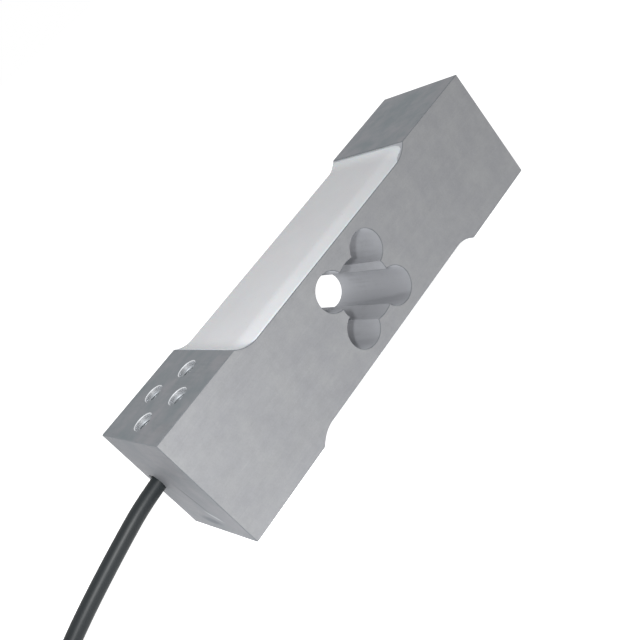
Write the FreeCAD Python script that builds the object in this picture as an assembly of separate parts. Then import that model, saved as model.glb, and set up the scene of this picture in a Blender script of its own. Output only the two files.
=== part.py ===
import FreeCAD, Part
import math
import os

# Strain gauge load cell of the single-point kind: a milled aluminium beam with a clover window,
# gauges and wiring in a shallow recess above and below it, potted in white silicone, and one cable.
# Millimetres. Origin: bottom centre of the beam. +X runs along the beam away from the cable,
# +Y towards the side face that the cable lies near, +Z up.

Vec = FreeCAD.Vector

# Beam
beam_length = 150.0
beam_width = 36.0
beam_height = 40.0
edge_break = 0.2

# Recesses, one above and one below, cut right across the beam
recess_length = 85.0
recess_depth = 3.0
cutter_radius = 10.0

# Clover window through the width: a bore with four lobes round it
window_bore_radius = 10.0
lobe_radius = 6.0
lobe_offset_x = 8.8
lobe_offset_z = 7.5

# Tapped mounting holes, four in a diamond at each end: above at the cable end, below at the other
thread_radius = 3.0
thread_length = 12.0
drill_radius = 2.5
drill_depth = 15.0
drill_point_angle = 118.0
mount_inset = 16.0
mount_spacing_x = 19.0
mount_spacing_y = 15.0

# Cable entry and wiring holes
cable_radius = 2.5
cable_to_side = 5.0
entry_clearance = 0.4
entry_depth = 25.0
seal_length = 12.0
wire_hole_radius = 2.0
wire_hole_inset = 3.4

# Potting
coat_thickness = 1.4
coat_lip = 0.2
coat_edge_drop = 0.8
coat_edge_width = 3.5

# Strain gauges
film_width = 6.0
film_margin = 0.8
film_thickness = 0.08
foil_thickness = 0.05
strand_count = 8
strand_width = 0.25
strand_pitch = 0.45
strand_length = 5.0
tab_length = 1.3
tab_width = 1.3
tab_offset = 1.3
tab_gap = 0.4
bead_size = 0.9
bead_height = 0.6

# Terminal boards, the resistors on one of them, and the wires
board_length = 9.0
board_width = 11.0
board_thickness = 0.2
board_gap = 2.0
board_from_cable = 2.5
joint_length = 1.1
joint_height = 1.2
joint_inset = 0.6
core_joint_pitch = 1.4
lead_joint_pitch = 1.9
lead_joints_from_cable = 4.5
chip_length = 2.0
chip_width = 1.2
chip_height = 0.45
chip_cap = 0.4
chip_pitch = 2.0
ribbon_width = 2.0
ribbon_offset = 1.0
ribbon_bend_radius = 0.7
lead_radius = 0.15
core_radius = 0.35
core_pitch = 0.95
core_bend_radius = 1.2
wire_clearance = 0.05

# Free cable: its route outside the beam, the hank that the rest is folded into, and its stripped end.
# A step of the route is its way out from the end face, its drift sideways and its share of the height
# still left to fall. Points of the stripped end count from the hank's middle.
cable_steps = [(2.0, 0.0, 1.0), (22.0, 0.3, 0.79), (44.0, 1.0, 0.48), (62.0, 1.8, 0.115), (76.0, 2.0, 0.0)]
cable_rest = 0.1
tail_route = [(-35.0, -14.6, 3.5), (-21.0, -9.8, 3.3), (-9.0, -3.8, 2.9), (2.0, -2.0, 2.9)]
hank_distance = 118.0
hank_straight = 66.0
hank_lanes = 2
hank_layers = 2
hank_inner_radius = 12.5
hank_rounding = 1.5
tie_thickness = 1.0
tie_width = 3.0
tie_head = 5.0
tie_head_height = 3.0
tie_tail = 6.0
sleeve_wall = 0.4
sleeve_grip = 5.0
sleeve_length = 11.0
sleeve_mouth_radius = 2.0
insulation_radius = 0.5
conductor_radius = 0.3
bundle_radius = 1.1
bare_length = 5.0
lead_reach = 27.0
lead_spread = 3.6

# Places worked out from the sizes
half_length = beam_length / 2
half_width = beam_width / 2
mid_height = beam_height / 2
floor_z = beam_height - recess_depth
floor_half = recess_length / 2 - math.sqrt(cutter_radius**2 - (cutter_radius - recess_depth) ** 2)
mount_x = half_length - mount_inset
cable_y = half_width - cable_to_side
entry_radius = cable_radius + entry_clearance
entry_end = -half_length + entry_depth
wire_hole_x = -floor_half + wire_hole_inset
board_left = wire_hole_x + wire_hole_radius + board_gap
board_right = board_left + board_length
foil_level = floor_z + film_thickness
board_level = floor_z + board_thickness
board_y = cable_y - board_from_cable
lead_joints_y = cable_y - lead_joints_from_cable
hank_outer_radius = hank_inner_radius + hank_lanes * 2 * cable_radius
hank_height = hank_layers * 2 * cable_radius
hank_x = -half_length - hank_distance
hank_y = cable_y + cable_steps[-1][1] + cable_radius - hank_outer_radius

parts = {}


def box(low, size):
    return Part.makeBox(size[0], size[1], size[2], Vec(*low))


def cylinder(radius, length, base, direction):
    return Part.makeCylinder(radius, length, Vec(*base), Vec(*direction))


def cone(radius_1, radius_2, length, base, direction):
    return Part.makeCone(radius_1, radius_2, length, Vec(*base), Vec(*direction))


def upside_down(shape):
    """The same shape at the underside of the beam."""
    return shape.mirror(Vec(0, 0, mid_height), Vec(0, 0, 1))


def face_from(points, bulges):
    """A flat face. A point with a bulge is the middle of an arc between its neighbours."""
    edges = []
    i = 0
    count = len(points)
    while i < count:
        a = Vec(*points[i])
        if (i + 1) % count in bulges:
            arc = Part.Arc(a, Vec(*points[(i + 1) % count]), Vec(*points[(i + 2) % count]))
            edges.append(arc.toShape())
            i += 2
        else:
            edges.append(Part.LineSegment(a, Vec(*points[(i + 1) % count])).toShape())
            i += 1
    return Part.Face(Part.Wire(edges))


def route_path(points, bend_radius=None):
    """Straight runs joined by tangent arcs, each as large as its runs allow or of the radius given."""
    corners = [Vec(*p) for p in points]
    edges = []
    radii = []
    start = corners[0]
    for before, corner, after in zip(corners, corners[1:], corners[2:]):
        into = corner - before
        out = after - corner
        slope = math.tan(into.getAngle(out) / 2)
        cut = 0.45 * min(into.Length, out.Length)
        if bend_radius:
            cut = min(cut, bend_radius * slope)
        into.normalize()
        out.normalize()
        inward = out - into
        inward.normalize()
        radius = cut / slope
        radii.append(round(radius, 1))
        arc_start = corner - into * cut
        arc_end = corner + out * cut
        middle = corner + inward * (math.hypot(radius, cut) - radius)
        edges.append(Part.LineSegment(start, arc_start).toShape())
        edges.append(Part.Arc(arc_start, middle, arc_end).toShape())
        start = arc_end
    edges.append(Part.LineSegment(start, corners[-1]).toShape())
    return Part.Wire(edges), radii


def tube(points, radius, bend_radius=None, label=None):
    """A round bar along a route, its volume compared with section times length where it has a label."""
    path, radii = route_path(points, bend_radius)
    circle = Part.makeCircle(radius, Vec(*points[0]), Vec(*points[1]) - Vec(*points[0]))
    solid = path.makePipeShell([Part.Wire(circle)], True, False)
    if label:
        share = solid.Volume / (math.pi * radius**2 * path.Length)
        print(label, "length", round(path.Length, 1), "bend radii", radii, "volume share", round(share, 4))
    return solid


def recess_space(level, half_run):
    """The space above a floor at this level, with the cutter's round corner at both ends."""
    far = beam_width * 1.5
    r = cutter_radius
    drop = r * (1 - math.sqrt(0.5))
    side = r * math.sqrt(0.5)
    outer = half_run + r
    top = beam_height * 2
    points = [
        (-half_run, -far, level),
        (half_run, -far, level),
        (half_run + side, -far, level + drop),
        (outer, -far, level + r),
        (outer, -far, top),
        (-outer, -far, top),
        (-outer, -far, level + r),
        (-half_run - side, -far, level + drop),
    ]
    return face_from(points, (2, 7)).extrude(Vec(0, 2 * far, 0))


def is_floor_seam(edge):
    """The smooth line where a recess's floor runs into its round end."""
    middle = edge.BoundBox.Center
    return edge.BoundBox.YLength > beam_width / 2 and abs(abs(middle.x) - floor_half) < 0.001


def window_space():
    """The bore and its lobes, with their rims broken on both side faces."""
    circles = [(0, mid_height, window_bore_radius)]
    for side in (-1, 1):
        for level in (-1, 1):
            circles.append((side * lobe_offset_x, mid_height + level * lobe_offset_z, lobe_radius))
    spaces = []
    for x, z, radius in circles:
        spaces.append(cylinder(radius, beam_width * 2, (x, -beam_width, z), (0, 1, 0)))
        for face in (-1, 1):
            base = (x, face * (half_width + 1), z)
            spaces.append(cone(radius + edge_break + 1, radius, edge_break + 1, base, (0, -face, 0)))
    return spaces[0].fuse(spaces[1:])


def tapped_hole(x, y):
    """A blind hole from above: broken rim, thread at its outer diameter, tapping drill and its point."""
    point = drill_radius / math.tan(math.radians(drill_point_angle / 2))
    above = beam_height + 1
    bore = cylinder(thread_radius, thread_length + 1, (x, y, above), (0, 0, -1))
    rim = cone(thread_radius + edge_break + 1, thread_radius, edge_break + 1, (x, y, above), (0, 0, -1))
    drill = cylinder(drill_radius, drill_depth + 1, (x, y, above), (0, 0, -1))
    tip = cone(drill_radius, 0, point, (x, y, beam_height - drill_depth), (0, 0, -1))
    return bore.fuse([rim, drill, tip])


def mounting_holes():
    """Four above at the cable end, the same four below at the other end."""
    holes = []
    half_x = mount_spacing_x / 2
    half_y = mount_spacing_y / 2
    for dx, dy in ((-half_x, 0), (half_x, 0), (0, -half_y), (0, half_y)):
        holes.append(tapped_hole(-mount_x + dx, dy))
        holes.append(upside_down(tapped_hole(mount_x + dx, dy)))
    return holes


def wiring_holes():
    """The cable's bore, a narrower one on from it, and the upright hole that joins both recesses."""
    start = (-half_length - 1, cable_y, mid_height)
    rim = edge_break + 1
    return [
        cylinder(entry_radius, entry_depth + 1, start, (1, 0, 0)),
        cone(entry_radius + rim, entry_radius, rim, start, (1, 0, 0)),
        cylinder(wire_hole_radius, wire_hole_x - entry_end, (entry_end, cable_y, mid_height), (1, 0, 0)),
        cylinder(wire_hole_radius, beam_height, (wire_hole_x, cable_y, 0), (0, 0, 1)),
    ]


def make_beam():
    bar = box((-half_length, -half_width, 0), (beam_length, beam_width, beam_height))
    recess = recess_space(floor_z, floor_half)
    bar = bar.cut([recess, upside_down(recess)])
    bar = bar.makeChamfer(edge_break, [e for e in bar.Edges if not is_floor_seam(e)])
    return bar.cut([window_space()] + mounting_holes() + wiring_holes())


def make_gauge(x):
    """A foil grid on its film, with two tabs towards the cable end and a bead of solder on each."""
    left = x - strand_length / 2
    tab_left = left - tab_gap - tab_length
    film_left = tab_left - film_margin
    film_length = x + strand_length / 2 + film_margin - film_left
    film = box((film_left, -film_width / 2, floor_z), (film_length, film_width, film_thickness))
    pieces = []
    for i in range(strand_count):
        y = (i - (strand_count - 1) / 2) * strand_pitch - strand_width / 2
        joined = tab_gap if i in (0, strand_count - 1) else 0
        strand = (left - joined, y, foil_level)
        pieces.append(box(strand, (strand_length + joined, strand_width, foil_thickness)))
        if i + 1 < strand_count:
            turn_x = left if i % 2 else left + strand_length - 2 * strand_width
            turn = (2 * strand_width, strand_pitch + strand_width, foil_thickness)
            pieces.append(box((turn_x, y, foil_level), turn))
    for side in (-1, 1):
        tab = (tab_left, side * tab_offset - tab_width / 2, foil_level)
        pieces.append(box(tab, (tab_length, tab_width, foil_thickness)))
        corner = (tab_left + (tab_length - bead_size) / 2, side * tab_offset - bead_size / 2)
        pieces.append(solder(corner, bead_size, bead_size, foil_level, bead_height))
    return film.fuse(pieces)


def solder(corner, length, width, level, height):
    """A low block of solder with its upper edges eased."""
    block = box((corner[0], corner[1], level), (length, width, height))
    upper = [e for e in block.Edges if e.BoundBox.ZMin > level + height / 2]
    return block.makeChamfer(0.15, upper)


def row(middle, count, pitch):
    return [middle + (i - (count - 1) / 2) * pitch for i in range(count)]


def make_board(left_row, right_row):
    """A thin board glued to the recess's floor, with its solder joints."""
    corner = (board_left, board_y - board_width / 2, floor_z)
    plate = box(corner, (board_length, board_width, board_thickness))
    left_x = board_left + joint_inset
    right_x = board_right - joint_inset - joint_length
    joints = []
    for x, places in ((left_x, left_row), (right_x, right_row)):
        for y in places:
            corner = (x, y - joint_length / 2)
            joints.append(solder(corner, joint_length, joint_length, floor_z, joint_height))
    return plate.fuse(joints)


def make_chip(y):
    """A chip resistor in the middle of the board, with a metal cap at each end."""
    x = (board_left + board_right) / 2
    left = x - chip_length / 2
    low_y = y - chip_width / 2
    body = box((left, low_y, board_level), (chip_length, chip_width, chip_height))
    caps = []
    for start in (left, left + chip_length - chip_cap):
        caps.append(box((start, low_y, board_level), (chip_cap, chip_width, chip_height + 0.05)))
    return body.fuse(caps)


def make_ribbon():
    """A flat jumper between the two boards, through the cross hole and folded at both its mouths."""
    outer = ribbon_bend_radius
    inner = outer - board_thickness
    wall_x = wire_hole_x + ribbon_offset
    low_y = cable_y - ribbon_width / 2
    bend_z = board_level - outer
    foot_z = beam_height - bend_z
    corner = outer * (1 - math.sqrt(0.5))
    inner_corner = outer - inner * math.sqrt(0.5)
    points = [
        (wall_x, low_y, mid_height),
        (wall_x, low_y, bend_z),
        (wall_x + corner, low_y, board_level - corner),
        (wall_x + outer, low_y, board_level),
        (board_left, low_y, board_level),
        (board_left, low_y, floor_z),
        (wall_x + outer, low_y, floor_z),
        (wall_x + inner_corner, low_y, board_level - inner_corner),
        (wall_x + board_thickness, low_y, bend_z),
        (wall_x + board_thickness, low_y, mid_height),
    ]
    half = face_from(points, (2, 7)).extrude(Vec(0, ribbon_width, 0))
    return half.fuse(upside_down(half)).removeSplitter()


def make_core(y, joint_y, board):
    """One insulated conductor: out of the jacket, up the cross hole and over to its joint."""
    level = board_level + wire_clearance + core_radius
    points = [
        (entry_end, y, mid_height),
        (wire_hole_x, y, mid_height),
        (wire_hole_x, y, level),
        (board_left + joint_inset + joint_length / 2, joint_y, level),
    ]
    return tube(points, core_radius, core_bend_radius).cut(board)


def make_leads(joints, board, gauges):
    """Bare leads between one board and two gauges. Those of the further gauge pass beside the nearer."""
    level = board_level + wire_clearance + lead_radius
    start_x = board_right - joint_inset - joint_length / 2
    bend = 5 * lead_radius
    leads = []
    for k, x in enumerate((-lobe_offset_x, lobe_offset_x)):
        bead_x = x - strand_length / 2 - tab_gap - tab_length / 2
        for side in (-1, 1):
            joint_y = joints[2 * k + (side + 1) // 2]
            bead_y = side * tab_offset
            turn_x = bead_x - 1.2 + 0.2 * side
            points = [(start_x, joint_y)]
            if k:
                lane = film_width / 2 + 1.8 + 0.55 * side
                points += [(turn_x - 2 * lobe_offset_x, lane), (turn_x - lane + bead_y, lane)]
            points += [(turn_x, bead_y), (bead_x, bead_y)]
            leads.append(tube([(px, py, level) for px, py in points], lead_radius, bend))
    return Part.makeCompound([lead.cut([board] + gauges) for lead in leads])


def make_coat(covered):
    """White silicone over a recess: it follows floor and round ends and closes round all it covers."""
    lip_z = beam_height - coat_lip
    surface_z = floor_z + coat_thickness
    lip_x = floor_half + math.sqrt(cutter_radius**2 - (floor_z + cutter_radius - lip_z) ** 2)
    half_run = lip_x - math.sqrt(cutter_radius**2 - (surface_z + cutter_radius - lip_z) ** 2)
    width = beam_width - 2 * edge_break
    room = box((-half_length, -width / 2, floor_z), (beam_length, width, recess_depth))
    above = recess_space(surface_z, half_run)
    slopes = [edge_slope(surface_z, half_run, side) for side in (-1, 1)]
    coat = recess_space(floor_z, floor_half).common(room).cut([above] + slopes)
    return coat.cut(covered)


def edge_slope(surface_z, half_run, side):
    """The space above the potting where it thins towards a side face: its outline, sheared downwards."""
    r = cutter_radius
    drop = r * (1 - math.sqrt(0.5))
    run = r * math.sqrt(0.5)
    outer = half_run + r
    y = side * (half_width - edge_break)
    level = surface_z - coat_edge_drop
    points = [
        (-half_run, y, level),
        (half_run, y, level),
        (half_run + run, y, level + drop),
        (outer, y, level + r),
        (-outer, y, level + r),
        (-half_run - run, y, level + drop),
    ]
    return face_from(points, (2, 5)).extrude(Vec(0, -side * coat_edge_width, coat_edge_drop))


def stadium(radius, level, height):
    """An upright block with two straight sides and two round ends, round the hank's middle."""
    half = hank_straight / 2
    points = [
        (hank_x - half, hank_y - radius, level),
        (hank_x + half, hank_y - radius, level),
        (hank_x + half + radius, hank_y, level),
        (hank_x + half, hank_y + radius, level),
        (hank_x - half, hank_y + radius, level),
        (hank_x - half - radius, hank_y, level),
    ]
    return face_from(points, (2, 5)).extrude(Vec(0, 0, height))


def make_hank():
    """The folded turns of the cable as one oblong ring."""
    ring = stadium(hank_outer_radius, tie_thickness, hank_height)
    ring = ring.cut(stadium(hank_inner_radius, tie_thickness - 1, hank_height + 2))
    rims = [e for e in ring.Edges if e.BoundBox.ZLength < 0.001]
    return ring.makeFillet(hank_rounding, rims)


def make_tie(hank):
    """A cable tie round the far side of the hank, with its head on top and the cut end of its strap."""
    width = hank_outer_radius - hank_inner_radius + 2 * tie_thickness
    height = hank_height + 2 * tie_thickness
    low_y = hank_y + hank_inner_radius - tie_thickness
    strap = box((hank_x - tie_width / 2, low_y, 0), (tie_width, width, height))
    corners = [e for e in strap.Edges if e.BoundBox.XLength > tie_width / 2]
    strap = strap.makeFillet(hank_rounding + tie_thickness / 2, corners)
    head_y = low_y + width / 2 - tie_head / 2
    head_size = (tie_head, tie_head, tie_head_height + tie_thickness)
    head = box((hank_x - tie_head / 2, head_y, height - tie_thickness), head_size)
    head = head.makeChamfer(0.5, head.Edges)
    end = (hank_x - tie_width / 2, head_y - tie_tail, height + tie_thickness)
    tail = box(end, (tie_width, tie_head / 2 + tie_tail, tie_thickness))
    return strap.fuse([head, tail]).cut(hank)


def make_stripped_end(jacket):
    """The heat-shrunk sleeve on the jacket's end and the five leads that come out of it."""
    before, end = [Vec(hank_x + p[0], hank_y + p[1], p[2]) for p in tail_route[-2:]]
    ahead = end - before
    ahead.normalize()
    across = Vec(-ahead.y, ahead.x, 0)
    leads = {}
    for i, colour in enumerate(("red", "black", "green", "white", "shield")):
        angle = math.radians(45 + 90 * i)
        ring = bundle_radius if colour != "shield" else 0
        place = (2, -2, -1, 1, 0)[i] * lead_spread
        start = end + across * (ring * math.cos(angle)) + Vec(0, 0, ring * math.sin(angle))
        bend = start + ahead * (sleeve_length - sleeve_grip + 1)
        low = Vec(end.x, end.y, insulation_radius)
        landing = low + ahead * (0.55 * lead_reach) + across * (0.5 * place)
        tip = low + ahead * lead_reach + across * place
        last = tip - landing
        last.normalize()
        lead = tube([tuple(p) for p in (start, bend, landing, tip)], insulation_radius)
        bare = Part.makeCylinder(conductor_radius, bare_length, tip, last)
        leads["lead_" + colour] = lead.fuse(bare)
    outer = cable_radius + sleeve_wall
    straight = sleeve_length - 4
    base = end - ahead * sleeve_grip
    sleeve = Part.makeCylinder(outer, straight, base, ahead)
    sleeve = sleeve.fuse(Part.makeCone(outer, sleeve_mouth_radius, 4, base + ahead * straight, ahead))
    return sleeve.cut([jacket] + list(leads.values())), leads


# Beam and what is glued into its recesses
parts["beam"] = make_beam()
parts["gauge_top_near"] = make_gauge(-lobe_offset_x)
parts["gauge_top_far"] = make_gauge(lobe_offset_x)
parts["gauge_bottom_near"] = upside_down(parts["gauge_top_near"])
parts["gauge_bottom_far"] = upside_down(parts["gauge_top_far"])
core_joints = row(cable_y, 4, core_joint_pitch)
lead_joints = row(lead_joints_y, 4, lead_joint_pitch)
top_board = make_board(core_joints, lead_joints)
plain_board = make_board([], lead_joints)
parts["top_terminal_board"] = top_board
parts["bottom_terminal_board"] = upside_down(plain_board)
chips = [make_chip(y) for y in row(board_y, 3, chip_pitch)]
parts["span_resistors"] = Part.makeCompound([chips[0], chips[2]])
parts["zero_resistor"] = chips[1]
top_gauges = [parts["gauge_top_near"], parts["gauge_top_far"]]
top_leads = make_leads(lead_joints, top_board, top_gauges)
parts["gauge_leads_top"] = top_leads
parts["gauge_leads_bottom"] = upside_down(top_leads)
parts["jumper_ribbon"] = make_ribbon()

# Cable and the four conductors inside it
lowest = cable_radius + cable_rest
cable_points = [(entry_end, cable_y, mid_height)]
for out, drift, share in cable_steps:
    cable_points.append((-half_length - out, cable_y + drift, lowest + share * (mid_height - lowest)))
cable = tube(cable_points, cable_radius, label="cable")
for colour, y, joint_y in zip(("red", "black", "green", "white"), row(cable_y, 4, core_pitch), core_joints):
    parts["inner_wire_" + colour] = make_core(y, joint_y, top_board)
seal_start = (-half_length + edge_break, cable_y, mid_height)
seal = cylinder(entry_radius, seal_length - edge_break, seal_start, (1, 0, 0))
parts["entry_seal"] = seal.cut(cable)
hank = make_hank()
parts["cable"] = cable.cut(hank)
parts["cable_hank"] = hank
parts["cable_tie"] = make_tie(hank)
tail = tube([(hank_x + x, hank_y + y, z) for x, y, z in tail_route], cable_radius, label="tail")
parts["cable_tail"] = tail.cut(hank)
parts["end_sleeve"], stripped = make_stripped_end(tail)
parts.update(stripped)

# Potting last, closed round the pieces it covers
inner_wires = [parts[name] for name in parts if name.startswith("inner_wire")]
covered = top_gauges + [top_board] + chips + inner_wires + [parts["jumper_ribbon"]] + top_leads.Solids
parts["top_coat"] = make_coat(covered)
covered = top_gauges + [plain_board, parts["jumper_ribbon"]] + top_leads.Solids
parts["bottom_coat"] = upside_down(make_coat(covered))

os.makedirs("parts", exist_ok=True)
for name, shape in parts.items():
    print(name, "solids", len(shape.Solids), "volume", round(shape.Volume, 3), "valid", shape.isValid())
    shape.exportStep(f"parts/{name}.step")
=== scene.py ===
import math

import bmesh
import bpy
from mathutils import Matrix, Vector, noise


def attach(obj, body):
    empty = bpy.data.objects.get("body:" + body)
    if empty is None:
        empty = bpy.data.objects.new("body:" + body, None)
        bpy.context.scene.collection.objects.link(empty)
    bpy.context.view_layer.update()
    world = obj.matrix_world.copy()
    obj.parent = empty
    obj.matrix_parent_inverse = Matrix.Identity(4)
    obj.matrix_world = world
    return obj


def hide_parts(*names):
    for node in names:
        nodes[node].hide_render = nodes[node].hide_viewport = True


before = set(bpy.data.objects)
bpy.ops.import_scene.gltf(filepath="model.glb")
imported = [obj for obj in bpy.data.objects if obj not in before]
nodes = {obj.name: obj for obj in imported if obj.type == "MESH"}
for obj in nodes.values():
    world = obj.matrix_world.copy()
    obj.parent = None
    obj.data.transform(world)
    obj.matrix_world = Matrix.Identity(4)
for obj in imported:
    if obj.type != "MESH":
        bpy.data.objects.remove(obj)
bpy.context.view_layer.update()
mm = 0.001
print("frame loaded:", len(nodes), "nodes")


def hexColour(code, alpha=1.0):
    # sRGB hex to the linear values that sockets take
    channels = [int(code[i:i + 2], 16) / 255 for i in (1, 3, 5)]
    linear = [c / 12.92 if c <= 0.04045 else ((c + 0.055) / 1.055) ** 2.4 for c in channels]
    return (*linear, alpha)


def addNode(tree, kind, inputs=None, **settings):
    # one node with its settings; an input is a value or the socket that feeds it
    # a Mix node takes its share at 0, values at 2 and 3 or colours at 6 and 7, and gives a colour at 2
    node = tree.nodes.new(kind)
    for key, value in settings.items():
        setattr(node, key, value)
    for socket, value in (inputs or {}).items():
        if isinstance(value, bpy.types.NodeSocket):
            tree.links.new(value, node.inputs[socket])
        else:
            node.inputs[socket].default_value = value
    return node


def startMaterial(name, **sockets):
    # a Principled surface; returns material, tree, shader and the Object coordinates
    material = bpy.data.materials.new(name)
    material.use_nodes = True
    tree = material.node_tree
    tree.nodes.clear()
    shader = addNode(tree, "ShaderNodeBsdfPrincipled", sockets)
    addNode(tree, "ShaderNodeOutputMaterial", {"Surface": shader.outputs["BSDF"]})
    return material, tree, shader, addNode(tree, "ShaderNodeTexCoord").outputs["Object"]


def finishPiece(name, bm, material):
    # the mesh becomes an object at the origin and rides on the part's one body
    bmesh.ops.remove_doubles(bm, verts=bm.verts, dist=1e-7)
    bmesh.ops.recalc_face_normals(bm, faces=bm.faces)
    mesh = bpy.data.meshes.new(name)
    bm.to_mesh(mesh)
    bm.free()
    for face in mesh.polygons:
        face.use_smooth = True
    mesh.materials.append(material)
    piece = bpy.data.objects.new(name, mesh)
    bpy.context.scene.collection.objects.link(piece)
    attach(piece, "root")
    return piece


def dress(material, *nodeNames):
    # a CAD node keeps its mesh and gets a better finish
    for nodeName in nodeNames:
        for slot in nodes[nodeName].material_slots:
            slot.material = material


# camera at the photograph's place, turn and roll
cameraSet = {
    "place": (-0.12238, -0.22932, 0.12837),
    "turn": (59.8566, 37.1926, -45.6779),   # degrees
    "lens": 51.7636,                        # on a 36 mm wide sensor, square frame
}
cameraData = bpy.data.cameras.new("camera")
cameraData.sensor_width = 36
cameraData.sensor_fit = "HORIZONTAL"
cameraData.lens = cameraSet["lens"]
cameraData.clip_start = 0.01
camera = bpy.data.objects.new("camera", cameraData)
camera.location = cameraSet["place"]
camera.rotation_euler = [math.radians(a) for a in cameraSet["turn"]]
bpy.context.scene.collection.objects.link(camera)
bpy.context.scene.camera = camera
print("camera set")


# the free cable: straight out of its bore, down to the table and into a tied hank
cableSet = {
    "diameter": 5.0 * mm,
    "length": 1.0,
    # the same points as the source's route, in metres
    "route": [
        (-0.0500, 0.0130, 0.0200),
        (-0.0770, 0.0130, 0.0200),
        (-0.0970, 0.0133, 0.0163),
        (-0.1190, 0.0140, 0.0110),
        (-0.1370, 0.0148, 0.0046),
        (-0.1510, 0.0150, 0.0026),
    ],
    "middle": (-0.193, -0.005),
    "halfRun": 33 * mm,
    "outerLane": 20 * mm,
    "innerLane": 15 * mm,
    "foldPoints": 6,
    "low": 2.5 * mm,       # on the table
    "high": 7.6 * mm,      # on the turn below
    "tieLift": 1.2 * mm,   # over the tie's strap
    # stripped end, in millimetres from the hank's middle
    "tail": [(-28.6, -14.6, 2.6), (-20.0, -9.6, 2.8), (-9.0, -3.8, 2.9), (2.0, -2.0, 2.9)],
    "jacket": ("#0D1113", "#1A2124"), "roughness": (0.42, 0.54),
    "handledSize": 14 * mm, "grainSize": 0.6 * mm,
}


def hankLap(points, side, lane, height):
    # one run and one fold of the hank: lane and height are (from, to, start, end) over the stretch
    s = cableSet
    across = 1 if side == "back" else -1
    halfStep = math.radians(90 / s["foldPoints"])

    def between(values, t):
        a, b, start, end = values
        return a + (b - a) * min(1.0, max(0.0, (t - start) / max(end - start, 1e-6)))

    for k in range(3):                       # start, middle and end of the run, the stretch's first half
        t = k / 4
        lift = s["tieLift"] if side == "back" and k == 1 else 0
        points.append((across * s["halfRun"] * (1 - k), across * between(lane, t), between(height, t) + lift))
    for k in range(s["foldPoints"]):         # round the fold, corners of a polygon that hugs the circle
        angle = halfStep * (1 + 2 * k)
        t = 0.5 + (k + 0.5) / (2 * s["foldPoints"])
        radius = between(lane, t) / math.cos(halfStep)
        x = -across * (s["halfRun"] + radius * math.sin(angle))
        points.append((x, across * radius * math.cos(angle), between(height, t)))


def makeCable(material):
    s = cableSet
    outer, inner, low, high = s["outerLane"], s["innerLane"], s["low"], s["high"]
    hank = []
    hankLap(hank, "back", (outer, outer, 0, 1), (low, low, 0, 1))
    hankLap(hank, "front", (outer, outer, 0, 1), (low, high, 0.72, 0.9))    # climbs over the incoming run
    hankLap(hank, "back", (outer, outer, 0, 1), (high, high, 0, 1))
    hankLap(hank, "front", (outer, inner, 0.5, 0.8), (high, high, 0, 1))
    hankLap(hank, "back", (inner, inner, 0, 1), (high, high, 0, 1))
    hankLap(hank, "front", (inner, inner, 0, 1), (high, low, 0.14, 0.4))    # drops where the end has left
    hankLap(hank, "back", (inner, inner, 0, 1), (low, low, 0, 1))
    hank += [(x * mm, y * mm, z * mm) for x, y, z in s["tail"]]
    points = s["route"] + [(s["middle"][0] + x, s["middle"][1] + y, z) for x, y, z in hank]

    curve = bpy.data.curves.new("cableJacket", "CURVE")
    curve.dimensions = "3D"
    spline = curve.splines.new("NURBS")
    spline.points.add(len(points) - 1)
    for point, place in zip(spline.points, points):
        point.co = (*place, 1.0)
    spline.order_u = 3
    spline.use_endpoint_u = True
    spline.resolution_u = 8
    curve.bevel_depth = s["diameter"] / 2
    curve.bevel_resolution = 7
    curve.use_fill_caps = True
    curve.materials.append(material)
    cable = bpy.data.objects.new("cableJacket", curve)
    bpy.context.scene.collection.objects.link(cable)
    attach(cable, "root")
    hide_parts("cable", "cable_hank", "cable_tail")
    return cable


# PVC jacket, extruded: blue-black, a soft satin sheen over a fine grain, with duller handled patches
pvcJacket, tree, shader, coords = startMaterial(
    "extrudedPvcJacket", **{"IOR": 1.53, "Specular IOR Level": 0.32})
handled = addNode(tree, "ShaderNodeTexNoise", {
    "Vector": coords, "Scale": 1 / cableSet["handledSize"], "Detail": 4})
grain = addNode(tree, "ShaderNodeTexNoise", {
    "Vector": coords, "Scale": 1 / cableSet["grainSize"], "Detail": 2})
dark, light = cableSet["jacket"]
tint = addNode(tree, "ShaderNodeMix", {
    0: handled.outputs["Fac"], 6: hexColour(dark), 7: hexColour(light)}, data_type="RGBA")
tree.links.new(tint.outputs[2], shader.inputs["Base Color"])
smooth, rough = cableSet["roughness"]
satin = addNode(tree, "ShaderNodeMapRange", {
    "Value": handled.outputs["Fac"], "To Min": smooth, "To Max": rough})
tree.links.new(satin.outputs["Result"], shader.inputs["Roughness"])
grained = addNode(tree, "ShaderNodeBump", {
    "Height": grain.outputs["Fac"], "Strength": 0.25, "Distance": 0.06 * mm})
tree.links.new(grained.outputs["Normal"], shader.inputs["Normal"])

cable = makeCable(pvcJacket)
print("cable laid out")


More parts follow.
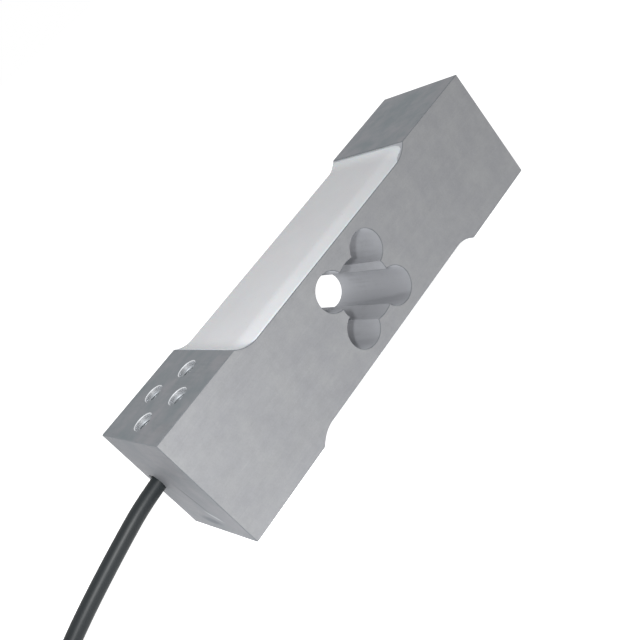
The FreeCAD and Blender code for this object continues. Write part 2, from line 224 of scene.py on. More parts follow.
beamSet = {
    "halfLength": 75 * mm, "halfWidth": 18 * mm, "height": 40 * mm,
    "holeMiddle": 59 * mm,          # from the beam's middle to that of each diamond of tapped holes
    "holesAlong": 9.5 * mm, "holesAcross": 7.5 * mm,      # from there to the holes
    "holeReach": 3.8 * mm,          # round each hole, far enough for its countersink
    "faceDepth": 0.01 * mm,         # a point nearer to a face than this takes that face's tone
    "rimDepth": 0.21 * mm,          # and down to here that of the broken edge
    # each face's tone drifts between two tones; the pads and the cable end are darker than the sides as
    # painted shade, the same metal shown with less light on it
    "side": ("#8F9093", "#949597"), "pad": ("#787E82", "#87888C"), "end": ("#787B7F", "#7F8084"),
    "bored": "#B3B5BA", "rim": "#85898D", "tapped": "#D2D4D7",
    "roughness": (0.58, 0.7), "boredRoughness": 0.88, "tappedRoughness": 0.5,
    # sizes of the patches, then spacing and run of the tool lines on the sides and on all that lies between
    "stainSize": 9 * mm, "cloudSize": 13 * mm, "blotchSize": 3 * mm, "gritSize": 0.5 * mm,
    "sideLines": (0.7 * mm, 40 * mm), "boreLines": (0.8 * mm, 30 * mm),
    "scratchSize": (14 * mm, 2 * mm, 0.5 * mm), "scratchTurn": (0, 24, 9),      # degrees
    # how much each layer adds to the tone, and the grit to the relief
    "blotchShare": 0.5, "sideLineShare": 0.25, "boreLineShare": 0.85, "gritShare": 0.5,
    "scratchShare": 0.6, "gritRelief": 0.8,
    # lighter and darker marks on the cable end: place, reach along y and z, turn in degrees, tone
    "endMarks": [
        ((-75, -4.0, 7.6), (4.4, 0.9), 28, "#A2A5A9"),
        ((-75, 1.5, 4.6), (7.0, 2.0), 4, "#62666C"),
        ((-75, -1.2, 14.5), (8.0, 1.0), 68, "#64676C"),
    ],
    "endMarkReach": 4 * mm,           # along x
}

# aluminium 6061, face milled, deburred and left bare: satin grey with clouds, fine grain, faint tool lines;
# its pads and cable end are painted darker as shade
milled, tree, shader, coords = startMaterial("milledAluminium6061", **{"Metallic": 1.0})
shader.distribution = "GGX"     # rough cuts darken where they are seen along the surface
b = beamSet

# for each depth: 1 where a point lies deeper than that under the faces across one axis, or under them all
place = addNode(tree, "ShaderNodeSeparateXYZ", {"Vector": coords})
spans = {"Y": (0.0, b["halfWidth"]), "X": (0.0, b["halfLength"]), "Z": (b["height"] / 2, b["height"] / 2)}
within = {}
for depth in ("faceDepth", "rimDepth"):
    within[depth, "all"] = 1.0
    for axis, (middle, half) in spans.items():
        inside = addNode(tree, "ShaderNodeMath", {
            0: place.outputs[axis], 1: middle, 2: half - b[depth]}, operation="COMPARE")
        both = addNode(tree, "ShaderNodeMath", {
            0: within[depth, "all"], 1: inside.outputs[0]}, operation="MULTIPLY")
        within[depth, axis] = inside.outputs[0]
        within[depth, "all"] = both.outputs[0]

# 1 in and round the tapped holes: folded over the middle planes and flattened, the eight become two
fold = addNode(tree, "ShaderNodeVectorMath", {0: coords}, operation="ABSOLUTE")
fold = addNode(tree, "ShaderNodeVectorMath", {
    0: fold.outputs[0], 1: (b["holeMiddle"], 0, 0)}, operation="SUBTRACT")
fold = addNode(tree, "ShaderNodeVectorMath", {0: fold.outputs[0]}, operation="ABSOLUTE")
fold = addNode(tree, "ShaderNodeVectorMath", {0: fold.outputs[0], 1: (1, 1, 0)}, operation="MULTIPLY")
toAlong = addNode(tree, "ShaderNodeVectorMath", {
    0: fold.outputs[0], 1: (b["holesAlong"], 0, 0)}, operation="DISTANCE")
toAcross = addNode(tree, "ShaderNodeVectorMath", {
    0: fold.outputs[0], 1: (0, b["holesAcross"], 0)}, operation="DISTANCE")
toHole = addNode(tree, "ShaderNodeMath", {
    0: toAlong.outputs["Value"], 1: toAcross.outputs["Value"]}, operation="MINIMUM")
inHole = addNode(tree, "ShaderNodeMath", {0: toHole.outputs[0], 1: b["holeReach"]}, operation="LESS_THAN")

stain = addNode(tree, "ShaderNodeTexNoise", {
    "Vector": coords, "Scale": 1 / b["stainSize"], "Detail": 3, "Roughness": 0.6})
drift = addNode(tree, "ShaderNodeMapRange", {
    "Value": stain.outputs["Fac"], "From Min": 0.36, "From Max": 0.64})
# the pads' and the end's tones made here are painted shade, darker copies of the sides' metal
side, pad, end = [
    addNode(tree, "ShaderNodeMix", {
        0: drift.outputs["Result"], 6: hexColour(b[face][0]), 7: hexColour(b[face][1])}, data_type="RGBA")
    for face in ("side", "pad", "end")]
surface = addNode(tree, "ShaderNodeMix", {
    0: within["rimDepth", "all"], 6: hexColour(b["rim"]), 7: hexColour(b["bored"])}, data_type="RGBA")
surface = addNode(tree, "ShaderNodeMix", {
    0: inHole.outputs[0], 6: surface.outputs[2], 7: hexColour(b["tapped"])}, data_type="RGBA")
surface = addNode(tree, "ShaderNodeMix", {
    0: within["faceDepth", "Y"], 6: side.outputs[2], 7: surface.outputs[2]}, data_type="RGBA")
endTone = end.outputs[2]
# a lighter streak and darker smudges, laid over the end's tone
for spot, reach, turn, tone in b["endMarks"]:
    spread = addNode(tree, "ShaderNodeMapping", {
        "Vector": coords, "Location": [v * mm for v in spot], "Rotation": (math.radians(turn), 0, 0),
        "Scale": (b["endMarkReach"], reach[0] * mm, reach[1] * mm)}, vector_type="TEXTURE")
    patch = addNode(tree, "ShaderNodeTexGradient", {"Vector": spread.outputs[0]}, gradient_type="SPHERICAL")
    markShare = addNode(tree, "ShaderNodeMapRange", {
        "Value": patch.outputs["Fac"], "From Max": 0.6, "To Max": 0.9})
    endMix = addNode(tree, "ShaderNodeMix", {
        0: markShare.outputs["Result"], 6: endTone, 7: hexColour(tone)}, data_type="RGBA")
    endTone = endMix.outputs[2]
# the end face and then the pads take their darker tones of painted shade
surface = addNode(tree, "ShaderNodeMix", {
    0: within["faceDepth", "X"], 6: endTone, 7: surface.outputs[2]}, data_type="RGBA")
surface = addNode(tree, "ShaderNodeMix", {
    0: within["faceDepth", "Z"], 6: pad.outputs[2], 7: surface.outputs[2]}, data_type="RGBA")

# tool lines, clouds, blotches, grit and scratches: they move the tone up and down together
gap, run = b["sideLines"]
sidePath = addNode(tree, "ShaderNodeMapping", {"Vector": coords, "Scale": (1 / run, 1 / run, 1 / gap)})
gap, run = b["boreLines"]
borePath = addNode(tree, "ShaderNodeMapping", {"Vector": coords, "Scale": (1 / gap, 1 / run, 1 / gap)})
sideLines = addNode(tree, "ShaderNodeTexNoise", {"Vector": sidePath.outputs[0], "Scale": 1, "Detail": 3})
boreLines = addNode(tree, "ShaderNodeTexNoise", {"Vector": borePath.outputs[0], "Scale": 1, "Detail": 3})
lines = addNode(tree, "ShaderNodeMix", {
    0: within["faceDepth", "Y"], 2: sideLines.outputs["Fac"], 3: boreLines.outputs["Fac"]})
lineShare = addNode(tree, "ShaderNodeMapRange", {
    "Value": within["faceDepth", "Y"], "To Min": b["sideLineShare"], "To Max": b["boreLineShare"]})
cloud = addNode(tree, "ShaderNodeTexNoise", {
    "Vector": coords, "Scale": 1 / b["cloudSize"], "Detail": 4, "Roughness": 0.6})
blotch = addNode(tree, "ShaderNodeTexNoise", {
    "Vector": coords, "Scale": 1 / b["blotchSize"], "Detail": 3, "Roughness": 0.6})
grit = addNode(tree, "ShaderNodeTexNoise", {
    "Vector": coords, "Scale": 1 / b["gritSize"], "Detail": 2, "Roughness": 0.7})
scratchPath = addNode(tree, "ShaderNodeMapping", {
    "Vector": coords, "Rotation": [math.radians(a) for a in b["scratchTurn"]],
    "Scale": [1 / size for size in b["scratchSize"]]})
scratch = addNode(tree, "ShaderNodeTexNoise", {"Vector": scratchPath.outputs[0], "Scale": 1, "Detail": 1})
scratched = addNode(tree, "ShaderNodeMapRange", {
    "Value": scratch.outputs["Fac"], "From Min": 0.70, "From Max": 0.76, "To Max": 0.25})
tone = cloud.outputs["Fac"]
for layer, share in (
        (blotch.outputs["Fac"], b["blotchShare"]), (lines.outputs[0], lineShare.outputs["Result"]),
        (grit.outputs["Fac"], b["gritShare"]), (scratched.outputs["Result"], b["scratchShare"])):
    tone = addNode(tree, "ShaderNodeMath", {0: layer, 1: share, 2: tone}, operation="MULTIPLY_ADD").outputs[0]
shade = addNode(tree, "ShaderNodeMapRange", {
    "Value": tone, "From Min": 0.7, "From Max": 1.4, "To Min": 0.88, "To Max": 1.12})
toned = addNode(tree, "ShaderNodeMix", {
    0: 1.0, 6: surface.outputs[2], 7: shade.outputs["Result"]}, data_type="RGBA", blend_type="MULTIPLY")
tree.links.new(toned.outputs[2], shader.inputs["Base Color"])

smooth, rough = b["roughness"]
outer = addNode(tree, "ShaderNodeMapRange", {
    "Value": cloud.outputs["Fac"], "From Min": 0.3, "From Max": 0.7, "To Min": smooth, "To Max": rough})
inner = addNode(tree, "ShaderNodeMix", {
    0: inHole.outputs[0], 2: b["boredRoughness"], 3: b["tappedRoughness"]})
sheen = addNode(tree, "ShaderNodeMix", {
    0: within["faceDepth", "all"], 2: outer.outputs["Result"], 3: inner.outputs[0]})
tree.links.new(sheen.outputs[0], shader.inputs["Roughness"])
relief = addNode(tree, "ShaderNodeMath", {
    0: grit.outputs["Fac"], 1: b["gritRelief"], 2: lines.outputs[0]}, operation="MULTIPLY_ADD")
brushed = addNode(tree, "ShaderNodeBump", {
    "Height": relief.outputs[0], "Strength": 0.16, "Distance": 0.06 * mm})
tree.links.new(brushed.outputs["Normal"], shader.inputs["Normal"])
dress(milled, "beam")
print("beam finished")


threadSet = {
    "pitch": 1.0 * mm, "outer": 3.02 * mm, "inner": 2.48 * mm, "turns": 11, "steps": 28,
    "start": 0.35 * mm,      # below the face
    # the ridge's outline: which radius, and how far down the pitch
    "profile": (("outer", 0.02), ("inner", 0.45), ("inner", 0.55), ("outer", 0.98)),
    "flank": ("#868A8E", "#A5A8AB"), "roughness": 0.6, "swirlSize": (1.5 * mm, 1.5 * mm, 0.3 * mm),
}


def cutThread(bm, x, y, faceZ, inward):
    # a sharp ridge that winds into the hole; inward is -1 from above and +1 from below
    s = threadSet
    top = faceZ + inward * s["start"]
    verts = [
        bm.verts.new((x + s[radius], y, top + inward * part * s["pitch"])) for radius, part in s["profile"]]
    edges = [bm.edges.new(pair) for pair in zip(verts, verts[1:])]
    drop = Vector((0, 0, inward * s["pitch"] / s["steps"]))
    bmesh.ops.spin(
        bm, geom=verts + edges, cent=(x, y, 0), axis=(0, 0, inward), dvec=drop,
        angle=2 * math.pi * s["turns"], steps=s["turns"] * s["steps"], use_merge=False,
    )


bm = bmesh.new()
for dx, dy in ((-b["holesAlong"], 0), (b["holesAlong"], 0), (0, -b["holesAcross"]), (0, b["holesAcross"])):
    cutThread(bm, -b["holeMiddle"] + dx, dy, b["height"], -1)
    cutThread(bm, b["holeMiddle"] + dx, dy, 0, 1)

# the thread's flanks are cut aluminium with a little oil left on them, so duller than the countersinks
tapped, tree, shader, coords = startMaterial(
    "tappedAluminium", **{"Metallic": 1.0, "Roughness": threadSet["roughness"]})
helix = addNode(tree, "ShaderNodeMapping", {
    "Vector": coords, "Scale": [1 / size for size in threadSet["swirlSize"]]})
swirl = addNode(tree, "ShaderNodeTexNoise", {"Vector": helix.outputs[0], "Scale": 1, "Detail": 2})
dark, light = threadSet["flank"]
flank = addNode(tree, "ShaderNodeMix", {
    0: swirl.outputs["Fac"], 6: hexColour(dark), 7: hexColour(light)}, data_type="RGBA")
tree.links.new(flank.outputs[2], shader.inputs["Base Color"])
finishPiece("threadRidges", bm, tapped)
print("threads cut")


siliconeSet = {
    "halfLength": 42.29 * mm, "halfWidth": 17.8 * mm,
    "recessDepth": 3 * mm, "floorHalf": 35.36 * mm, "cornerRadius": 10 * mm,
    "thickness": 1.4 * mm, "surfaceHalf": 37.2 * mm,
    "edgeDrop": 1.36 * mm, "edgeWidth": 7.3 * mm, "bendShare": 0.4,     # sags towards the front
    "backDrop": 0.6 * mm, "backWidth": 1.9 * mm,          # and less behind, where joints stand under it
    "ripple": 0.09 * mm, "rippleX": 55, "rippleY": 70,    # height, and ripples in a metre
    "endReach": 5 * mm, "endShare": 0.2,     # the drop fades over this reach, where it wets the round end
    "seat": 0.02 * mm,                       # its underside is pressed this far into the recess
    "skin": ("#D7D8DB", "#E2E3E6"), "dust": "#A7A9AC", "roughness": 0.48,
    "waveSize": 11 * mm, "dustSize": 0.9 * mm, "dustRelief": 0.2,
}


def floorRise(x, flat):
    # how far the cutter's round corner has climbed at this x
    past = max(0.0, abs(x) - flat)
    r = siliconeSet["cornerRadius"]
    return r - math.sqrt(r * r - past * past)


def pourSilicone(name, nodeName, material, upward):
    s = siliconeSet
    floorZ = beamSet["height"] - s["recessDepth"]
    bm = bmesh.new()
    bmesh.ops.create_grid(bm, x_segments=120, y_segments=52, size=0.5)
    bmesh.ops.scale(bm, vec=(2 * s["halfLength"], 2 * s["halfWidth"], 1), verts=bm.verts)
    for vert in bm.verts:
        x, y, _ = vert.co
        width, drop = (s["backWidth"], s["backDrop"]) if y > 0 else (s["edgeWidth"], s["edgeDrop"])
        edge = max(0.0, (abs(y) - s["halfWidth"] + width) / width)
        bend = s["bendShare"]                # it rounds over first and then slopes evenly
        fall = drop * (edge * edge / (2 * bend) if edge < bend else edge - bend / 2) / (1 - bend / 2)
        inland = min(1.0, (s["halfLength"] - abs(x)) / s["endReach"])
        fall *= s["endShare"] + (1 - s["endShare"]) * inland * inland * (3 - 2 * inland)
        wave = noise.noise(Vector((x * s["rippleX"], y * s["rippleY"], 0.7 * upward)))     # another one below
        ripple = s["ripple"] * wave * (1 - edge) * inland
        vert.co.z = floorZ + s["thickness"] + floorRise(x, s["surfaceHalf"]) - fall + ripple
    made = bmesh.ops.extrude_face_region(bm, geom=bm.faces[:])
    for item in made["geom"]:
        if isinstance(item, bmesh.types.BMVert):
            item.co.z = min(item.co.z, floorZ + floorRise(item.co.x, s["floorHalf"])) - s["seat"]
    if not upward:
        bmesh.ops.scale(bm, vec=(1, 1, -1), verts=bm.verts)
        bmesh.ops.translate(bm, vec=(0, 0, beamSet["height"]), verts=bm.verts)
    piece = finishPiece(name, bm, material)
    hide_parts(nodeName)


# RTV silicone, poured and cured: milky white, with a softly glossy skin, shallow waves and specks of dust
silicone, tree, shader, coords = startMaterial("pouredWhiteSilicone", **{
    "Roughness": siliconeSet["roughness"], "IOR": 1.41, "Subsurface Weight": 0.1, "Subsurface Scale": 2 * mm})
waves = addNode(tree, "ShaderNodeTexNoise", {
    "Vector": coords, "Scale": 1 / siliconeSet["waveSize"], "Detail": 3})
dust = addNode(tree, "ShaderNodeTexNoise", {
    "Vector": coords, "Scale": 1 / siliconeSet["dustSize"], "Detail": 2, "Roughness": 0.7})
dark, light = siliconeSet["skin"]
milky = addNode(tree, "ShaderNodeMix", {
    0: waves.outputs["Fac"], 6: hexColour(dark), 7: hexColour(light)}, data_type="RGBA")
specks = addNode(tree, "ShaderNodeMapRange", {
    "Value": dust.outputs["Fac"], "From Min": 0.68, "From Max": 0.78, "To Max": 0.35})
dusty = addNode(tree, "ShaderNodeMix", {
    0: specks.outputs["Result"], 6: milky.outputs[2], 7: hexColour(siliconeSet["dust"])}, data_type="RGBA")
tree.links.new(dusty.outputs[2], shader.inputs["Base Color"])
skin = addNode(tree, "ShaderNodeMath", {
    0: dust.outputs["Fac"], 1: siliconeSet["dustRelief"], 2: waves.outputs["Fac"]}, operation="MULTIPLY_ADD")
skinBump = addNode(tree, "ShaderNodeBump", {
    "Height": skin.outputs[0], "Strength": 0.25, "Distance": 0.2 * mm})
tree.links.new(skinBump.outputs["Normal"], shader.inputs["Normal"])
pourSilicone("topSilicone", "top_coat", silicone, True)
pourSilicone("bottomSilicone", "bottom_coat", silicone, False)
print("silicone poured")


# strain gauges: amber polyimide film, the duller sheen of its constantan grid, and bright beads of solder
gaugeSet = {
    "foilRise": 17.09 * mm, "solderRise": 17.14 * mm,      # above and below the beam's middle height
    "film": ("#A15F17", "#C5832E"), "foil": ("#A8957A", "#C2B094"), "solder": "#C8CACC",
    "streakSize": 1.2 * mm, "roughness": (0.25, 0.42),
}
gauge, tree, shader, coords = startMaterial("polyimideFilmGauge")
place = addNode(tree, "ShaderNodeSeparateXYZ", {"Vector": coords})
rise = addNode(tree, "ShaderNodeMath", {
    0: place.outputs["Z"], 1: beamSet["height"] / 2}, operation="SUBTRACT")
rise = addNode(tree, "ShaderNodeMath", {0: rise.outputs[0]}, operation="ABSOLUTE")
onFoil = addNode(tree, "ShaderNodeMath", {
    0: rise.outputs[0], 1: gaugeSet["foilRise"]}, operation="GREATER_THAN")
onSolder = addNode(tree, "ShaderNodeMath", {
    0: rise.outputs[0], 1: gaugeSet["solderRise"]}, operation="GREATER_THAN")
streak = addNode(tree, "ShaderNodeTexNoise", {
    "Vector": coords, "Scale": 1 / gaugeSet["streakSize"], "Detail": 3})
film, foil = [
    addNode(tree, "ShaderNodeMix", {
        0: streak.outputs["Fac"], 6: hexColour(dark), 7: hexColour(light)}, data_type="RGBA")
    for dark, light in (gaugeSet["film"], gaugeSet["foil"])]
metal = addNode(tree, "ShaderNodeMix", {
    0: onSolder.outputs[0], 6: foil.outputs[2], 7: hexColour(gaugeSet["solder"])}, data_type="RGBA")
skin = addNode(tree, "ShaderNodeMix", {
    0: onFoil.outputs[0], 6: film.outputs[2], 7: metal.outputs[2]}, data_type="RGBA")
tree.links.new(skin.outputs[2], shader.inputs["Base Color"])
tree.links.new(onFoil.outputs[0], shader.inputs["Metallic"])
smooth, rough = gaugeSet["roughness"]
glossy = addNode(tree, "ShaderNodeMapRange", {
    "Value": streak.outputs["Fac"], "To Min": smooth, "To Max": rough})
tree.links.new(glossy.outputs["Result"], shader.inputs["Roughness"])
dress(gauge, "gauge_top_near", "gauge_top_far", "gauge_bottom_near", "gauge_bottom_far")

# terminal boards: glass epoxy under green solder mask, its weave drawn coarser than it is, with bright joints
boardSet = {
    "jointRise": 17.21 * mm,      # above and below the beam's middle height
    "mask": ("#165A2B", "#1C6A34"), "joint": ("#A9ABAD", "#D2D4D6"),
    "weaveSize": 0.4 * mm, "fluxSize": 0.8 * mm, "roughness": (0.22, 0.4),
}
board, tree, shader, coords = startMaterial("greenGlassEpoxyBoard")
place = addNode(tree, "ShaderNodeSeparateXYZ", {"Vector": coords})
rise = addNode(tree, "ShaderNodeMath", {
    0: place.outputs["Z"], 1: beamSet["height"] / 2}, operation="SUBTRACT")
rise = addNode(tree, "ShaderNodeMath", {0: rise.outputs[0]}, operation="ABSOLUTE")
onJoint = addNode(tree, "ShaderNodeMath", {
    0: rise.outputs[0], 1: boardSet["jointRise"]}, operation="GREATER_THAN")
dark, light = boardSet["mask"]
weave = addNode(tree, "ShaderNodeTexChecker", {
    "Vector": coords, "Scale": 1 / boardSet["weaveSize"],
    "Color1": hexColour(dark), "Color2": hexColour(light)})
flux = addNode(tree, "ShaderNodeTexNoise", {"Vector": coords, "Scale": 1 / boardSet["fluxSize"], "Detail": 3})
dark, light = boardSet["joint"]
solder = addNode(tree, "ShaderNodeMix", {
    0: flux.outputs["Fac"], 6: hexColour(dark), 7: hexColour(light)}, data_type="RGBA")
skin = addNode(tree, "ShaderNodeMix", {
    0: onJoint.outputs[0], 6: weave.outputs["Color"], 7: solder.outputs[2]}, data_type="RGBA")
tree.links.new(skin.outputs[2], shader.inputs["Base Color"])
tree.links.new(onJoint.outputs[0], shader.inputs["Metallic"])
smooth, rough = boardSet["roughness"]
glossy = addNode(tree, "ShaderNodeMapRange", {
    "Value": flux.outputs["Fac"], "To Min": smooth, "To Max": rough})
tree.links.new(glossy.outputs["Result"], shader.inputs["Roughness"])
dress(board, "top_terminal_board", "bottom_terminal_board")

# chip resistors: white alumina with a dark glaze on top, between tinned caps
chipSet = {
    "middle": -23.46 * mm, "halfBody": 0.6 * mm,      # along x, between the caps
    "glazeRise": 17.6 * mm,                           # above the beam's middle height
    "glaze": ("#151517", "#232326"), "tin": ("#B4B6B8", "#D0D2D3"), "alumina": "#DEDCD5",
    "mottleSize": 0.3 * mm, "roughness": (0.2, 0.35),
}
chip, tree, shader, coords = startMaterial("glazedAluminaChip")
place = addNode(tree, "ShaderNodeSeparateXYZ", {"Vector": coords})
onBody = addNode(tree, "ShaderNodeMath", {
    0: place.outputs["X"], 1: chipSet["middle"], 2: chipSet["halfBody"]}, operation="COMPARE")
onGlaze = addNode(tree, "ShaderNodeMath", {
    0: place.outputs["Z"], 1: beamSet["height"] / 2 + chipSet["glazeRise"]}, operation="GREATER_THAN")
cap = addNode(tree, "ShaderNodeMath", {0: 1.0, 1: onBody.outputs[0]}, operation="SUBTRACT")
mottle = addNode(tree, "ShaderNodeTexNoise", {
    "Vector": coords, "Scale": 1 / chipSet["mottleSize"], "Detail": 2})
glaze, tin = [
    addNode(tree, "ShaderNodeMix", {
        0: mottle.outputs["Fac"], 6: hexColour(dark), 7: hexColour(light)}, data_type="RGBA")
    for dark, light in (chipSet["glaze"], chipSet["tin"])]
body = addNode(tree, "ShaderNodeMix", {
    0: onGlaze.outputs[0], 6: hexColour(chipSet["alumina"]), 7: glaze.outputs[2]}, data_type="RGBA")
skin = addNode(tree, "ShaderNodeMix", {
    0: onBody.outputs[0], 6: tin.outputs[2], 7: body.outputs[2]}, data_type="RGBA")
tree.links.new(skin.outputs[2], shader.inputs["Base Color"])
tree.links.new(cap.outputs[0], shader.inputs["Metallic"])
smooth, rough = chipSet["roughness"]
glossy = addNode(tree, "ShaderNodeMapRange", {
    "Value": mottle.outputs["Fac"], "To Min": smooth, "To Max": rough})
tree.links.new(glossy.outputs["Result"], shader.inputs["Roughness"])
dress(chip, "span_resistors", "zero_resistor")

# tinned copper wire: bright, with dull streaks where the tin was wiped
wireSet = {"tin": ("#A8A49C", "#D3D2CE"), "wipedSize": 0.9 * mm, "roughness": (0.2, 0.38)}
tinned, tree, shader, coords = startMaterial("tinnedCopperWire", **{"Metallic": 1.0})
wiped = addNode(tree, "ShaderNodeTexNoise", {
    "Vector": coords, "Scale": 1 / wireSet["wipedSize"], "Detail": 3})
dark, light = wireSet["tin"]
skin = addNode(tree, "ShaderNodeMix", {
    0: wiped.outputs["Fac"], 6: hexColour(dark), 7: hexColour(light)}, data_type="RGBA")
tree.links.new(skin.outputs[2], shader.inputs["Base Color"])
smooth, rough = wireSet["roughness"]
glossy = addNode(tree, "ShaderNodeMapRange", {
    "Value": wiped.outputs["Fac"], "To Min": smooth, "To Max": rough})
tree.links.new(glossy.outputs["Result"], shader.inputs["Roughness"])
dress(tinned, "gauge_leads_top", "gauge_leads_bottom")

# polyimide jumper: amber film with the copper tracks that show through it
jumperSet = {
    "film": ("#9C5B12", "#BE7C26"), "track": "#8A4416",
    "trackSpacing": 0.5 * mm, "trackHalf": 0.25,      # half a track's width, as a share of the spacing
    "streakSize": 1.5 * mm, "roughness": (0.25, 0.4),
}
ribbon, tree, shader, coords = startMaterial("polyimideJumper")
place = addNode(tree, "ShaderNodeSeparateXYZ", {"Vector": coords})
track = addNode(tree, "ShaderNodeMath", {
    0: place.outputs["Y"], 1: jumperSet["trackSpacing"]}, operation="DIVIDE")
track = addNode(tree, "ShaderNodeMath", {0: track.outputs[0]}, operation="FRACT")
track = addNode(tree, "ShaderNodeMath", {
    0: track.outputs[0], 1: 0.5, 2: jumperSet["trackHalf"]}, operation="COMPARE")
streak = addNode(tree, "ShaderNodeTexNoise", {
    "Vector": coords, "Scale": 1 / jumperSet["streakSize"], "Detail": 3})
dark, light = jumperSet["film"]
film = addNode(tree, "ShaderNodeMix", {
    0: streak.outputs["Fac"], 6: hexColour(dark), 7: hexColour(light)}, data_type="RGBA")
skin = addNode(tree, "ShaderNodeMix", {
    0: track.outputs[0], 6: film.outputs[2], 7: hexColour(jumperSet["track"])}, data_type="RGBA")
tree.links.new(skin.outputs[2], shader.inputs["Base Color"])
smooth, rough = jumperSet["roughness"]
glossy = addNode(tree, "ShaderNodeMapRange", {
    "Value": streak.outputs["Fac"], "To Min": smooth, "To Max": rough})
tree.links.new(glossy.outputs["Result"], shader.inputs["Roughness"])
dress(ribbon, "jumper_ribbon")

# PVC insulation: even colour and a soft shine, with a fine drawn grain; each lead's last 5 mm is tinned
insulationSet = {
    # two shades of each colour, and the middle of the lead's tinned end in millimetres
    "wires": {
        "Red": ("#A31C14", "#BE2A20", (-163.27, 5.56, 0.5)),
        "Black": ("#151516", "#222224", (-160.71, -10.06, 0.5)),
        "Green": ("#176A2E", "#22803B", (-161.27, -6.16, 0.5)),
        "White": ("#DCDBD5", "#EAE9E4", (-162.56, 1.67, 0.5)),
        "Shield": ("#3C3C3F", "#4E4E51", (-161.89, -2.24, 0.5)),
    },
    "tin": "#C2C0BA", "tinHalf": 2.51 * mm,      # half the tinned length
    "grainSize": 0.7 * mm, "roughness": (0.28, 0.42),
}
for colour, (dark, light, tinMiddle) in insulationSet["wires"].items():
    sheath, tree, shader, coords = startMaterial("pvcInsulation" + colour, **{"IOR": 1.53})
    toTin = addNode(tree, "ShaderNodeVectorMath", {
        0: coords, 1: [v * mm for v in tinMiddle]}, operation="DISTANCE")
    bare = addNode(tree, "ShaderNodeMath", {
        0: toTin.outputs["Value"], 1: insulationSet["tinHalf"]}, operation="LESS_THAN")
    grain = addNode(tree, "ShaderNodeTexNoise", {
        "Vector": coords, "Scale": 1 / insulationSet["grainSize"], "Detail": 3})
    plastic = addNode(tree, "ShaderNodeMix", {
        0: grain.outputs["Fac"], 6: hexColour(dark), 7: hexColour(light)}, data_type="RGBA")
    skin = addNode(tree, "ShaderNodeMix", {
        0: bare.outputs[0], 6: plastic.outputs[2], 7: hexColour(insulationSet["tin"])}, data_type="RGBA")
    tree.links.new(skin.outputs[2], shader.inputs["Base Color"])
    tree.links.new(bare.outputs[0], shader.inputs["Metallic"])
    smooth, rough = insulationSet["roughness"]
    glossy = addNode(tree, "ShaderNodeMapRange", {
        "Value": grain.outputs["Fac"], "To Min": smooth, "To Max": rough})
    tree.links.new(glossy.outputs["Result"], shader.inputs["Roughness"])
    grained = addNode(tree, "ShaderNodeBump", {
        "Height": grain.outputs["Fac"], "Strength": 0.2, "Distance": 0.05 * mm})
    tree.links.new(grained.outputs["Normal"], shader.inputs["Normal"])
    wires = ["lead_" + colour.lower()]
    if colour != "Shield":
        wires.append("inner_wire_" + colour.lower())
    dress(sheath, *wires)

# black silicone sealant: pressed in by hand, so its skin is lumpy and half dull
sealantSet = {"skin": ("#101113", "#1F2123"), "lumpSize": 1.6 * mm, "roughness": (0.3, 0.55)}
sealant, tree, shader, coords = startMaterial("blackSiliconeSealant", **{"IOR": 1.41})
lumps = addNode(tree, "ShaderNodeTexNoise", {
    "Vector": coords, "Scale": 1 / sealantSet["lumpSize"], "Detail": 3})
dark, light = sealantSet["skin"]
skin = addNode(tree, "ShaderNodeMix", {
    0: lumps.outputs["Fac"], 6: hexColour(dark), 7: hexColour(light)}, data_type="RGBA")
tree.links.new(skin.outputs[2], shader.inputs["Base Color"])
smooth, rough = sealantSet["roughness"]
glossy = addNode(tree, "ShaderNodeMapRange", {
    "Value": lumps.outputs["Fac"], "To Min": smooth, "To Max": rough})
tree.links.new(glossy.outputs["Result"], shader.inputs["Roughness"])
lumpy = addNode(tree, "ShaderNodeBump", {
    "Height": lumps.outputs["Fac"], "Strength": 0.5, "Distance": 0.3 * mm})
tree.links.new(lumpy.outputs["Normal"], shader.inputs["Normal"])
dress(sealant, "entry_seal")

# nylon 6/6 tie, natural: milky and a little see-into, with the strap's fine ratchet teeth
tieSet = {
    "skin": ("#CFCDC2", "#E2E0D6"), "hazeSize": 2 * mm, "toothSpacing": 1.0 * mm, "roughness": (0.35, 0.5)}
nylon, tree, shader, coords = startMaterial("naturalNylonTie", **{
    "IOR": 1.53, "Subsurface Weight": 0.15, "Subsurface Scale": 1 * mm})
place = addNode(tree, "ShaderNodeSeparateXYZ", {"Vector": coords})
teeth = addNode(tree, "ShaderNodeMath", {0: place.outputs["Y"], 1: place.outputs["Z"]}, operation="ADD")
teeth = addNode(tree, "ShaderNodeMath", {0: teeth.outputs[0], 1: tieSet["toothSpacing"]}, operation="DIVIDE")
teeth = addNode(tree, "ShaderNodeMath", {0: teeth.outputs[0]}, operation="FRACT")
haze = addNode(tree, "ShaderNodeTexNoise", {"Vector": coords, "Scale": 1 / tieSet["hazeSize"], "Detail": 3})
dark, light = tieSet["skin"]
skin = addNode(tree, "ShaderNodeMix", {
    0: haze.outputs["Fac"], 6: hexColour(dark), 7: hexColour(light)}, data_type="RGBA")
tree.links.new(skin.outputs[2], shader.inputs["Base Color"])
smooth, rough = tieSet["roughness"]
glossy = addNode(tree, "ShaderNodeMapRange", {
    "Value": haze.outputs["Fac"], "To Min": smooth, "To Max": rough})
tree.links.new(glossy.outputs["Result"], shader.inputs["Roughness"])
toothed = addNode(tree, "ShaderNodeBump", {"Height": teeth.outputs[0], "Strength": 0.6, "Distance": 0.2 * mm})
tree.links.new(toothed.outputs["Normal"], shader.inputs["Normal"])
dress(nylon, "cable_tie")

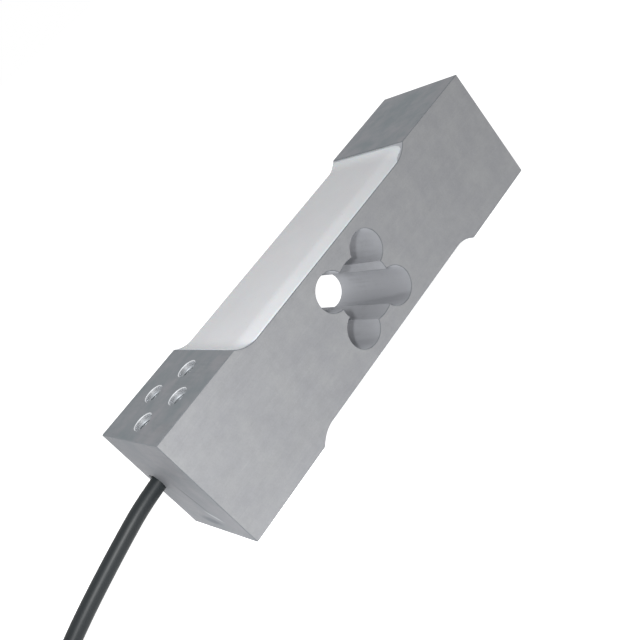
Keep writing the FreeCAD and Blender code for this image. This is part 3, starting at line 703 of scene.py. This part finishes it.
# polyolefin sleeve, shrunk on: satin black with faint wrinkles round it
sleeveSet = {
    "skin": ("#121314", "#212325"), "roughness": (0.35, 0.5),
    "wrinkleSize": (0.8 * mm, 6 * mm, 6 * mm), "turn": -9,      # degrees, as the tail lies
}
sleeve, tree, shader, coords = startMaterial("polyolefinShrinkSleeve", **{"IOR": 1.5})
wrinklePath = addNode(tree, "ShaderNodeMapping", {
    "Vector": coords, "Rotation": (0, 0, math.radians(sleeveSet["turn"])),
    "Scale": [1 / size for size in sleeveSet["wrinkleSize"]]})
wrinkle = addNode(tree, "ShaderNodeTexNoise", {"Vector": wrinklePath.outputs[0], "Scale": 1, "Detail": 3})
dark, light = sleeveSet["skin"]
skin = addNode(tree, "ShaderNodeMix", {
    0: wrinkle.outputs["Fac"], 6: hexColour(dark), 7: hexColour(light)}, data_type="RGBA")
tree.links.new(skin.outputs[2], shader.inputs["Base Color"])
smooth, rough = sleeveSet["roughness"]
glossy = addNode(tree, "ShaderNodeMapRange", {
    "Value": wrinkle.outputs["Fac"], "To Min": smooth, "To Max": rough})
tree.links.new(glossy.outputs["Result"], shader.inputs["Roughness"])
wrinkled = addNode(tree, "ShaderNodeBump", {
    "Height": wrinkle.outputs["Fac"], "Strength": 0.4, "Distance": 0.15 * mm})
tree.links.new(wrinkled.outputs["Normal"], shader.inputs["Normal"])
dress(sleeve, "end_sleeve")
print("small parts finished")


lightSet = {
    "worldStrength": 0.38,     # what the pale room gives to matt surfaces
    "floorHalf": 8.0, "floorTone": "#F8F8F8",
    "floorGlow": 0.8,          # added where the floor is seen, so that it is white but keeps its shadow
    # the small key lamp stands a little left of the camera and is aimed at the cable end
    "keyPlace": (-0.142, -0.220, 0.152), "keySize": 0.015, "keyPower": 0.34,
    "keyAim": (-0.08, -0.02, 0.02), "keySpread": 120,      # degrees
    # a narrow lamp behind shines in through the window's far opening
    "backPlace": (-0.085, 0.42, 0.030), "backSize": 0.01, "backPower": 0.018,
    "backAim": (0, 0, 0.02), "backSpread": 20,
}


def whereSeen(tree):
    # 1 where the camera, a mirror image or a clear piece shows the surface
    path = addNode(tree, "ShaderNodeLightPath")
    seen = addNode(tree, "ShaderNodeMath", {
        0: path.outputs["Is Camera Ray"], 1: path.outputs["Is Glossy Ray"]}, operation="MAXIMUM")
    seen = addNode(tree, "ShaderNodeMath", {
        0: seen.outputs[0], 1: path.outputs["Is Transmission Ray"]}, operation="MAXIMUM")
    return seen.outputs[0]


bm = bmesh.new()
bmesh.ops.create_grid(bm, x_segments=1, y_segments=1, size=lightSet["floorHalf"])
floorMesh = bpy.data.meshes.new("floor")
bm.to_mesh(floorMesh)
bm.free()
floor = bpy.data.objects.new("floor", floorMesh)
bpy.context.scene.collection.objects.link(floor)
paper, tree, shader, coords = startMaterial("whitePaperFloor", **{
    "Base Color": hexColour(lightSet["floorTone"]), "Roughness": 0.9, "Specular IOR Level": 0.0,
    "Emission Color": (1, 1, 1, 1)})
glow = addNode(tree, "ShaderNodeMath", {0: whereSeen(tree), 1: lightSet["floorGlow"]}, operation="MULTIPLY")
tree.links.new(glow.outputs[0], shader.inputs["Emission Strength"])
floorMesh.materials.append(paper)

world = bpy.data.worlds.new("studio")
bpy.context.scene.world = world
world.use_nodes = True
tree = world.node_tree
tree.nodes.clear()
room = addNode(tree, "ShaderNodeBackground", {"Color": (1, 1, 1, 1), "Strength": lightSet["worldStrength"]})
backdrop = addNode(tree, "ShaderNodeBackground", {"Color": (1, 1, 1, 1), "Strength": 1.0})
studio = addNode(tree, "ShaderNodeMixShader", {
    0: whereSeen(tree), 1: room.outputs[0], 2: backdrop.outputs[0]})
addNode(tree, "ShaderNodeOutputWorld", {"Surface": studio.outputs[0]})


def addLamp(name, place, size, power, aim, spread):
    lamp = bpy.data.lights.new(name, "AREA")
    lamp.spread = math.radians(spread)
    lamp.size = size
    lamp.energy = power
    holder = bpy.data.objects.new(name, lamp)
    holder.location = place
    holder.rotation_euler = (Vector(place) - Vector(aim)).to_track_quat("Z", "Y").to_euler()
    holder.visible_camera = False
    bpy.context.scene.collection.objects.link(holder)


for lampName in ("key", "back"):
    lampValues = [lightSet[lampName + part] for part in ("Place", "Size", "Power", "Aim", "Spread")]
    addLamp(lampName + "Lamp", *lampValues)
bpy.context.scene.view_settings.view_transform = "Standard"
print("floor and lamps set")
